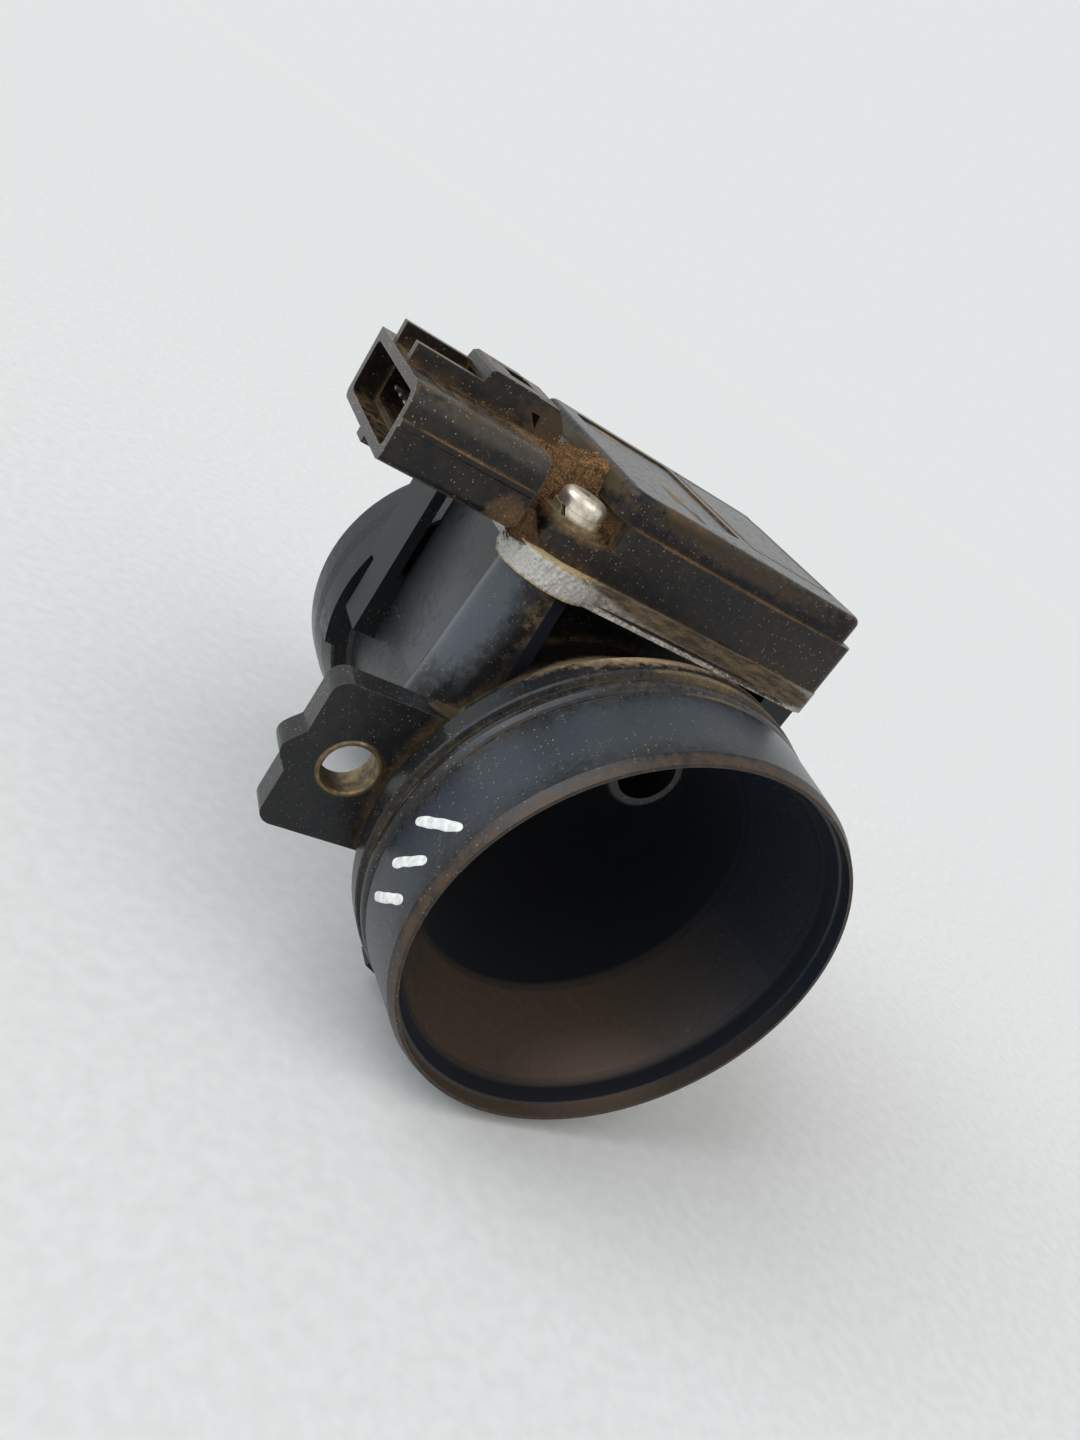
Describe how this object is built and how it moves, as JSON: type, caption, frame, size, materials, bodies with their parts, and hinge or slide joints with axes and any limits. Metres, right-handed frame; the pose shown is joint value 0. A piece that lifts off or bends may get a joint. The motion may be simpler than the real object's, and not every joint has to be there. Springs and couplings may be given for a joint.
{
  "type": "mass airflow sensor",
  "caption": "Round bell-mouthed air duct with two mounting ears, a bypass passage with hot-wire probe inside, and a screwed-on circuit box with a side plug socket.",
  "frame": {"origin": "centre of the inlet rim plane, on the tube axis", "axes": "+Y along the tube from inlet to outlet, +Z from the tube up to the circuit module, -X the way the plug socket faces"},
  "size_m": [0.1254, 0.12, 0.1041],
  "materials": {
    "black_pbt": "worn satin, dusty",
    "plate_aluminium": "corroded",
    "screw_steel": "dull bright",
    "washer_steel": "yellow zinc, dusty",
    "bush_steel": "yellow zinc",
    "seal_rubber": "matt",
    "stem_plastic": "satin",
    "probe_metal": "bright",
    "glass_bead": "glazed",
    "bonding_silicone": "matt",
    "board_ceramic": "matt",
    "chip_black": "matt",
    "capacitor_tan": "satin",
    "resistor_dark": "satin",
    "clear_gel": "clear, soft",
    "tinned_brass": "tinned"
  },
  "bodies": {
    "root": {"flow_tube": "black_pbt", "ear_bushes": "bush_steel", "base_gasket": "seal_rubber", "base_plate": "plate_aluminium", "module_housing": "black_pbt", "module_lid": "black_pbt", "lid_seal": "seal_rubber", "module_screws": "screw_steel", "spring_washers": "washer_steel", "flat_washers": "washer_steel", "probe_stem": "stem_plastic", "probe_pins": "probe_metal", "hot_wire_element": "glass_bead", "cold_wire_element": "glass_bead", "intake_thermistor": "glass_bead", "thermistor_leads": "probe_metal", "probe_o_ring": "seal_rubber", "board_adhesive": "bonding_silicone", "circuit_board": "board_ceramic", "control_chip": "chip_black", "power_transistor": "chip_black", "capacitors": "capacitor_tan", "trim_resistors": "resistor_dark", "probe_links": "probe_metal", "potting_gel": "clear_gel", "plug_pins": "tinned_brass", "bond_leads": "probe_metal"}
  },
  "joints": []
}
